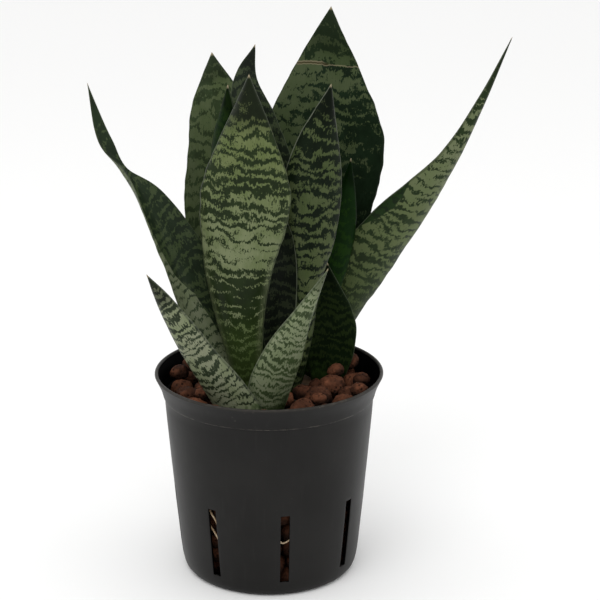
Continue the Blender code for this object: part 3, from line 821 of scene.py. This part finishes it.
def face_colour(net, share, marks, pale, top, dark):
    """One face of a leaf: its ground with darker patches and pale fibres, and the dark bands on it."""
    ground = net.mix(net.ease(share, 0.45, 0.75), pale, top)
    patch = tuple(part * gain for part, gain in zip(top, PATCH_TINT))
    ground = net.mix(net.ease(marks["Tone"], 0.36, 0.64, 0.55, 0.0), ground, patch)
    ground = net.mix(net.ease(marks["Fibre"], 0.4, 0.75, 0.0, 0.3), ground, toned(pale, 1.3))
    deep = net.mix(net.ease(marks["Tone"], 0.35, 0.65), dark, toned(dark, 1.5))
    return net.mix(marks["Dark"], ground, deep)


def fold_over(net, fold, outside, across, to_margin, share):
    """Where the outer face shows, with the other face showing on a folded margin's flap."""
    reach = net.times(evenly(net, share, [width / 10 for width in fold["widths"]]), 10.0)
    past = net.math("MAXIMUM", net.times(across, -fold["side"]), 0.0)
    from_fold = net.plus(to_margin, net.times(past, 2.0))
    flap = net.ease(net.minus(from_fold, reach), -0.5, 0.1, 1.0, 0.0)
    if fold["face"] > 0:
        return net.math("ABSOLUTE", net.minus(outside, flap))
    return net.math("MAXIMUM", outside, flap)


def crease_scar(net, colour, level, across, along, seed):
    """A crease across the leaf at a level: two dry lines with brown skin between them, and darker skin above.
    Gives the new colour and how dry the skin is."""
    wobble = net.noise(net.join(net.times(across, 0.22), 0.0, seed), 1.0, 3.0)
    above = net.minus(net.minus(along, level), net.times(wobble, 3.0))

    def near(middle, low, high, strength=1.0):
        return net.ease(net.math("ABSOLUTE", net.minus(above, middle)), low, high, strength, 0.0)

    lower = near(0.0, 0.1, 0.45)
    upper = net.times(near(1.5, 0.2, 0.6), net.ease(across, 0.0, 5.0))
    between = net.times(near(0.75, 0.4, 0.9, 0.8), net.ease(across, -3.0, 3.0))
    colour = net.mix(between, colour, SCAR_BROWN)
    colour = net.mix(net.ease(above, -0.2, 0.4, 0.0, 0.25), colour, SCAR_GREEN)
    return colour, net.times(net.math("MAXIMUM", lower, upper), 0.5)


def leaf_material(name, look, bands, settings, seed):
    """The two faces of one leaf, its green base, shaded tip, the lines on its margins and its dry tissue; a
    dark base and a shaded side are painted shade.
    """
    look = {**PLAIN_LOOK, **look}
    material, net, shader = new_material(f"{name}_skin")
    place = net.attribute("leaf_place")
    across, along, face = net.split(place)
    to_margin, to_tip, share = net.split(net.attribute("leaf_edge"))
    # painted shade: the bands grow denser toward one side of the leaf
    side_shade_bands = net.times(across, look["shaded_side"] / max(LEAVES[name]["widths"]))
    outer = net.group(bands, Place=place, Seed=seed * 3.7, Spacing=look["spacing"],
                      Dense=net.plus(evenly(net, share, look["dense"]), side_shade_bands))
    inner = net.group(bands, Place=place, Seed=seed * 3.7 + 51.0, Spacing=look["spacing"] * 1.1,
                      Dense=net.plus(evenly(net, share, look["inner_dense"]), side_shade_bands))
    tone = outer["Tone"]
    pale, inner_pale = look["pale"], look["inner_pale"]
    outside = net.ease(face, -0.04, 0.04)
    if name in FOLDS:
        outside = fold_over(net, FOLDS[name], outside, across, to_margin, share)
    colour = net.mix(outside, face_colour(net, share, inner, inner_pale, inner_pale, look["inner_dark"]),
                     face_colour(net, share, outer, pale, look.get("pale_top", pale), look["dark"]))
    # the base, green on most leaves and painted shade where it is dark
    base = net.ease(net.plus(along, net.around(tone, 22.0)), look["base"] * 0.35, look["base"] * 1.1,
                    0.85, 0.0)
    green = look["base_and_shade_colour"]
    colour = net.mix(base, colour, net.mix(outer["Dark"], green, toned(green, 0.55)))
    tip = net.ease(net.plus(to_tip, net.around(tone, 10.0)), look["tip"] * 0.6, look["tip"] * 1.1,
                   look["tip_shade"], 1.0)
    colour = net.mix(1.0, colour, net.join(tip, tip, tip), "MULTIPLY")
    # a broad paler edge, a thin dark line and, outermost, a thin pale one run along the margins
    frayed = net.plus(to_margin, net.around(tone, 0.9))
    glow = net.times(net.ease(outer["Fibre"], 0.3, 0.6), net.ease(share, 0.45, 0.62, 1.0, 0.0))
    glow = net.times(net.ease(frayed, 1.0, 4.5, look["margin_glow"], 0.0), glow)
    colour = net.mix(glow, colour, pale)
    colour = net.mix(net.ease(frayed, 0.5, 1.1, 0.5, 0.0), colour, look["dark"])
    colour = net.mix(net.ease(frayed, 0.15, 0.35, look["margin"], 0.0), colour, tuple(settings.margin))
    dry = net.ease(to_tip, 0.8, 2.6, 1.0, 0.0)
    if look["scar"]:
        colour, scarred = crease_scar(net, colour, look["scar"], across, along, seed)
        dry = net.math("MAXIMUM", dry, scarred)
    net.put(shader["Base Color"], net.mix(dry, colour, tuple(settings.dry)))
    rough = net.plus(settings.shine, net.around(tone, 0.25))
    rough = net.plus(rough, net.times(outer["Dark"], -0.05))
    net.put(shader["Roughness"], net.plus(rough, net.times(dry, 0.3), clamp=True))
    shader["Specular IOR Level"].default_value = look["wax"]
    relief = net.plus(net.times(outer["Fibre"], 0.5), net.times(outer["Dark"], 0.25))
    dents = net.noise(net.join(net.times(across, 0.10), net.times(along, 0.05), seed))
    net.put(shader["Normal"], net.bump(relief, 0.3, 0.15 * MM, net.bump(dents, 0.35, 1.2 * MM)))
    return material


def plastic_material(name, settings, shade):
    """Black moulded plastic with a satin skin: dust in the rim step, a scuffed lip, marks and streaks."""
    material, net, shader = new_material(name)
    place = net.spot()
    z = net.split(place)[2]
    plastic, scuff = toned(settings.plastic, shade), toned(settings.scuff, shade)
    blotches = net.noise(place, 26.0, 3.0, 0.55)
    cloudy = net.mix(net.ease(blotches, 0.35, 0.7), plastic, toned(plastic, 1.35))
    streaks = net.noise(net.stretch(place, 420.0, 420.0, 14.0), 1.0, 2.0, 0.6)
    cloudy = net.mix(net.ease(streaks, 0.55, 0.8, 0.0, 0.35), cloudy, toned(plastic, 2.0))
    # the lip is worn where it is highest, in short runs
    worn = net.noise(net.stretch(place, 300.0, 300.0, 900.0), 1.0, 3.0, 0.65)
    on_lip = net.ease(z, 116.6 * MM, 118.2 * MM)
    wear = net.times(on_lip, net.ease(worn, 0.5, 0.72))
    colour = net.mix(net.plus(net.times(wear, 0.14), net.times(on_lip, 0.08)), cloudy, scuff)
    # dust and pale specks
    scatter = net.ease(net.noise(place, 55.0, 1.0), 0.55, 0.62)
    band = net.ease(z, 96 * MM, 112 * MM, 0.12, 1.0)
    dust = net.times(net.ease(net.cells(place, 330.0), 0.06, 0.12, 1.0, 0.0), net.times(scatter, band))
    colour = net.mix(net.times(dust, 0.5), colour, scuff)
    step = net.math("ABSOLUTE", net.minus(z, 105.15 * MM))
    ledge = net.times(net.ease(step, 0.15 * MM, 0.5 * MM, 1.0, 0.0), net.ease(worn, 0.45, 0.6))
    net.put(shader["Base Color"], net.mix(net.times(ledge, 0.28), colour, scuff))
    rough = net.plus(settings.gloss, net.around(blotches, 0.22))
    rough = net.plus(rough, net.times(net.math("MAXIMUM", wear, dust), 0.3), clamp=True)
    net.put(shader["Roughness"], rough)
    shader["Specular IOR Level"].default_value = 0.13 * shade
    ripple = net.bump(net.noise(place, 70.0, 2.0), 0.25, 0.5 * MM)
    net.put(shader["Normal"], net.bump(net.noise(place, 2400.0, 2.0, 0.6), 0.22, 0.05 * MM, ripple))
    return material


def clay_pore_group():
    """Fired clay skin: colour patches, pinholes and a grainy surface."""
    tree, net, given, out = new_group("Fired clay skin", [("Place", "Vector")],
                                      [("Patches", "Float"), ("Pinholes", "Float"), ("Grain", "Float")])
    place = given["Place"]
    net.put(out["Patches"], net.noise(place, 150.0, 3.0, 0.65))
    holes = net.cells(place, 430.0)
    sparse = net.ease(net.noise(place, 210.0, 1.0), 0.42, 0.54)
    net.put(out["Pinholes"], net.times(net.ease(holes, 0.16, 0.38, 1.0, 0.0), sparse))
    net.put(out["Grain"], net.noise(place, 1500.0, 3.0, 0.65))
    return tree


def clay_material(name, skin, settings, shade=1.0):
    """Fired clay, redder or darker from pebble to pebble, with pinholes; painted shade darkens each pebble's
    underside and its pinholes.
    """
    material, net, shader = new_material(name)
    marks = net.group(skin, Place=net.spot())
    patches, holes, grain = marks["Patches"], marks["Pinholes"], marks["Grain"]
    upward, tone, _ = net.split(net.attribute("pebble_skin"))
    clay, soot = toned(settings.clay, shade), toned(settings.soot, shade)
    colour = net.mix(net.ease(tone, 0.0, 1.0, 0.45, 1.0), soot, clay)
    colour = net.mix(net.ease(patches, 0.5, 0.75, 0.0, 0.7), colour, toned(clay, 1.8))
    colour = net.mix(net.ease(patches, 0.34, 0.52, 0.75, 0.0), colour, soot)
    colour = net.mix(net.ease(grain, 0.55, 0.75, 0.0, 0.3), colour, CLAY_DUST)
    # painted shade: the pinholes darkened almost to black
    colour = net.mix(net.times(holes, 0.85), colour, PINHOLE_PAINTED_SHADE)
    # painted shade: each pebble darker toward its underside, where the pebbles touch
    under = net.ease(net.plus(upward, net.times(patches, 0.3)), -0.15, 0.75, 0.85, 0.0)
    net.put(shader["Base Color"], net.mix(under, colour, UNDERSIDE_PAINTED_SHADE))
    net.put(shader["Roughness"], net.ease(grain, 0.3, 0.7, 0.72, 0.95))
    shader["Specular IOR Level"].default_value = 0.1
    net.put(shader["Normal"], net.bump(net.minus(net.times(grain, 0.35), holes), 0.9, 0.6 * MM))
    return material


def flesh_material(name, colour, scar, scale):
    """Living but dry skin of the rhizome or of a root, with brown flecks and fine wrinkles."""
    material, net, shader = new_material(name)
    place = net.spot()
    flecks = net.noise(place, scale, 4.0, 0.65)
    wrinkles = net.noise(place, scale * 4.0, 2.0, 0.6)
    tone = net.mix(net.ease(flecks, 0.4, 0.62), scar, colour)
    tone = net.mix(net.ease(wrinkles, 0.5, 0.8, 0.0, 0.35), tone, toned(colour, 1.4))
    net.put(shader["Base Color"], tone)
    net.put(shader["Roughness"], net.ease(flecks, 0.3, 0.7, 0.75, 0.5))
    net.put(shader["Normal"], net.bump(wrinkles, 0.4, 0.2 * MM))
    return material


def floor_material(settings):
    """Matt paper sweep with a very faint grain."""
    material, net, shader = new_material("studio_paper")
    grain = net.noise(net.spot(), 900.0)
    paper = net.mix(net.ease(grain, 0.3, 0.7, 0.0, 0.1), tuple(settings.floor), FLOOR_GRAIN)
    net.put(shader["Base Color"], paper)
    net.put(shader["Roughness"], net.ease(grain, 0.3, 0.7, 0.85, 0.95))
    net.put(shader["Normal"], net.bump(grain, 0.05, 0.05 * MM))
    return material


# ------------------------------------------------------------------ operators
class SNAKEPLANT_OT_grow_pot(bpy.types.Operator):
    """Builds the slotted grow pot"""
    bl_idname = "snake_plant.grow_pot"
    bl_label = "Grow pot"

    def execute(self, context):
        settings = context.scene.plant_pot
        tick = gate_mark_mesh()
        bm = pot_mesh(settings)
        bm.from_mesh(tick)
        bpy.data.meshes.remove(tick)
        # inward faces below the lip get the plastic darkened to painted shade inside the pot
        for face in bm.faces:
            spot = face.calc_center_median()
            if spot.z < LIP_INSIDE and face.normal.x * spot.x + face.normal.y * spot.y < 0:
                face.material_index = 1
        pot = add_piece("grow_pot_moulded", bm, plastic_material("black_moulded_plastic", settings, 1.0),
                        "pot_plastic", "grow_pot", sharp_angle=math.radians(38))
        # the inner copy: colour and gloss cut to 0.08, painted shade
        pot.data.materials.append(plastic_material("damp_inner_plastic", settings, 0.08))
        return {"FINISHED"}


class SNAKEPLANT_OT_pebbles(bpy.types.Operator):
    """Fills the pot with loose clay pebbles and lays the top layer"""
    bl_idname = "snake_plant.pebbles"
    bl_label = "Clay pebbles"

    def execute(self, context):
        settings = context.scene.plant_pebbles
        skin = clay_pore_group()
        clays = [clay_material("fired_clay_red", skin, settings, 1.0),
                 clay_material("fired_clay_brown", skin, settings, 0.78),
                 clay_material("fired_clay_bright", skin, settings, 1.2)]
        add_piece("clay_pebble_filling", pebble_fill_mesh(settings), clays[0], "fired_clay",
                  "clay_pebble_bed")
        chance = random.Random(settings.seed)
        top_layer = sorted(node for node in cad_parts
                           if node.startswith("clay_pebble_") and node != "clay_pebble_bed")
        for node in top_layer:
            low, high = (Vector(corner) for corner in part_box(node))
            bm = bmesh.new()
            add_pebble(bm, (low + high) / 2, (high.z - low.z) / 2, chance, 5)
            name = node.replace("clay_pebble", "lumpy_pebble")
            add_piece(name, bm, chance.choice(clays), "fired_clay", node)
        return {"FINISHED"}


class SNAKEPLANT_OT_rhizome(bpy.types.Operator):
    """Builds the rhizome and the roots"""
    bl_idname = "snake_plant.rhizome"
    bl_label = "Rhizome and roots"

    def execute(self, context):
        settings = context.scene.plant_roots
        flesh = flesh_material("rhizome_skin", tuple(settings.flesh), RHIZOME_SCARS, 160.0)
        fibre = flesh_material("root_skin", tuple(settings.fibre), ROOT_FLECKS, 420.0)
        add_piece("rhizome_ringed", rhizome_mesh(), flesh, "rhizome_flesh", "rhizome")
        for seed, (node, root) in enumerate(ROOTS.items()):
            add_piece(f"{node}_kinked", root_mesh(root, settings, seed * 3.3), fibre, "root_fibre", node)
        return {"FINISHED"}


class SNAKEPLANT_OT_leaves(bpy.types.Operator):
    """Builds the twelve banded leaves"""
    bl_idname = "snake_plant.leaves"
    bl_label = "Leaves"

    def execute(self, context):
        settings = context.scene.plant_leaves
        bands = leaf_band_group()
        for index, (node, leaf) in enumerate(LEAVES.items()):
            seed = settings.seed + index * 1.7
            material = leaf_material(node, LEAF_LOOKS[node], bands, settings, seed)
            add_piece(f"{node}_banded", leaf_mesh(node, leaf, settings, seed), material, "leaf", node)
        return {"FINISHED"}


class SNAKEPLANT_OT_studio(bpy.types.Operator):
    """Lays the pale floor and sets the soft lights and the camera"""
    bl_idname = "snake_plant.studio"
    bl_label = "Studio"

    def execute(self, context):
        settings = context.scene.plant_studio
        scene = context.scene
        bm = bmesh.new()
        bmesh.ops.create_grid(bm, x_segments=2, y_segments=2, size=FLOOR_SIZE)
        mesh = bpy.data.meshes.new("studio_floor")
        bm.to_mesh(mesh)
        bm.free()
        mesh.materials.append(floor_material(settings))
        add_object("studio_floor", mesh)

        world = bpy.data.worlds.new("studio_surround")
        world.use_nodes = True
        surround = Nodes(world.node_tree)
        background = surround.add("ShaderNodeBackground")
        background.inputs["Color"].default_value = (1.0, 1.0, 1.0, 1.0)
        background.inputs["Strength"].default_value = settings.daylight
        output = surround.add("ShaderNodeOutputWorld")
        surround.put(output.inputs["Surface"], background.outputs[0])
        scene.world = world

        scene.view_settings.view_transform = "Standard"
        aim = Vector((0, 0, POT_HEIGHT))
        for name, (place, size, energy) in LIGHTS.items():
            lamp = bpy.data.lights.new(name, "AREA")
            lamp.shape = "DISK"
            lamp.size = size
            lamp.energy = getattr(settings, energy)
            light = add_object(name, lamp)
            light.location = place
            light.rotation_euler = (aim - Vector(place)).to_track_quat("-Z", "Y").to_euler()

        view = bpy.data.cameras.new("studio_camera")
        view.lens = CAMERA_LENS
        view.sensor_width = 36.0
        view.clip_end = 20.0
        camera = add_object("studio_camera", view)
        camera.location = CAMERA_PLACE
        camera.rotation_euler = (CAMERA_TILT, 0.0, 0.0)
        scene.camera = camera
        return {"FINISHED"}


class SNAKEPLANT_PT_parts(bpy.types.Panel):
    """Lists the plant's parts and their settings"""
    bl_idname = "SNAKEPLANT_PT_parts"
    bl_label = "Snake plant"
    bl_space_type = "VIEW_3D"
    bl_region_type = "UI"
    bl_category = "Snake plant"

    def draw(self, context):
        for operator, group in PARTS:
            box = self.layout.box()
            settings = getattr(context.scene, group)
            for name in settings.bl_rna.properties.keys():
                if name not in ("rna_type", "name"):
                    box.prop(settings, name)
            box.operator(operator.bl_idname)


PARTS = (
    (SNAKEPLANT_OT_grow_pot, "plant_pot"),
    (SNAKEPLANT_OT_pebbles, "plant_pebbles"),
    (SNAKEPLANT_OT_rhizome, "plant_roots"),
    (SNAKEPLANT_OT_leaves, "plant_leaves"),
    (SNAKEPLANT_OT_studio, "plant_studio"),
)
SETTINGS = {
    "plant_pot": GrowPotSettings,
    "plant_pebbles": PebbleSettings,
    "plant_roots": RootSettings,
    "plant_leaves": LeafSettings,
    "plant_studio": StudioSettings,
}


def register():
    for name, group in SETTINGS.items():
        bpy.utils.register_class(group)
        setattr(bpy.types.Scene, name, PointerProperty(type=group))
    for operator, _ in PARTS:
        bpy.utils.register_class(operator)
    bpy.utils.register_class(SNAKEPLANT_PT_parts)


def unregister():
    bpy.utils.unregister_class(SNAKEPLANT_PT_parts)
    for operator, _ in reversed(PARTS):
        bpy.utils.unregister_class(operator)
    for name, group in SETTINGS.items():
        delattr(bpy.types.Scene, name)
        bpy.utils.unregister_class(group)


def main():
    register()
    bpy.ops.snake_plant.grow_pot()
    bpy.ops.snake_plant.pebbles()
    bpy.ops.snake_plant.rhizome()
    bpy.ops.snake_plant.leaves()
    bpy.ops.snake_plant.studio()


if __name__ == "__main__":
    main()
